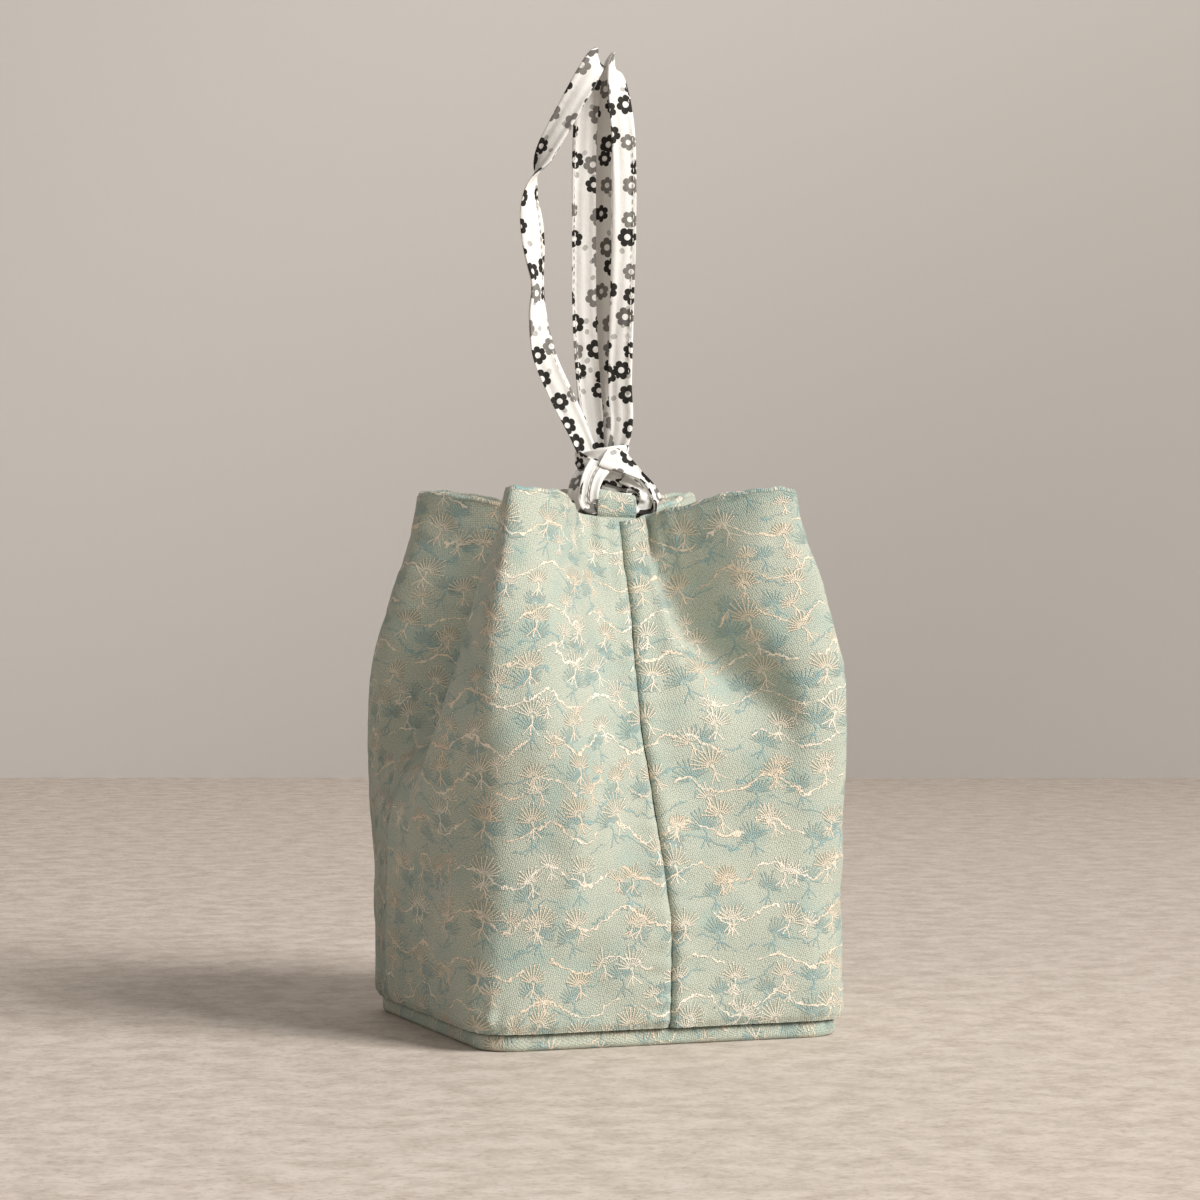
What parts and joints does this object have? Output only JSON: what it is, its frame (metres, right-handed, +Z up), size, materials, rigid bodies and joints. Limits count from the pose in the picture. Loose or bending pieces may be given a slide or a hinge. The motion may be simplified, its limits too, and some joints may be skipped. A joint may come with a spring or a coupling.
{
  "type": "drawstring pouch",
  "caption": "Square-based padded brocade drawstring pouch (kinchaku) with a plain lining, its mouth drawn in and two flat tapes knotted into handle loops.",
  "frame": {"origin": "middle of the base, on its underside", "axes": "+Z up the pouch's axis towards the mouth; -Y out of the front, the side whose middle has a seam and that the picture faces; +X to the pouch's right as seen from the front"},
  "size_m": [0.1594, 0.158, 0.3908],
  "materials": {
    "brocade": "padded figured brocade, sage green with cream and aqua yarns",
    "lining": "plain pinkish-beige cotton",
    "tape": "flat cotton tape, white with small black and grey flowers",
    "board": "grey-brown card, unseen"
  },
  "bodies": {
    "root": {"outer_panel_left": "brocade", "outer_panel_right": "brocade", "base_panel": "brocade", "loop_front": "brocade", "loop_right": "brocade", "loop_back": "brocade", "loop_left": "brocade", "lining_panel_left": "lining", "lining_panel_right": "lining", "lining_floor": "lining", "base_board": "board", "drawstring_a_ring": "tape", "drawstring_b_ring": "tape", "drawstring_knot": "tape", "handle_loop_a": "tape", "handle_loop_b": "tape"}
  },
  "joints": []
}
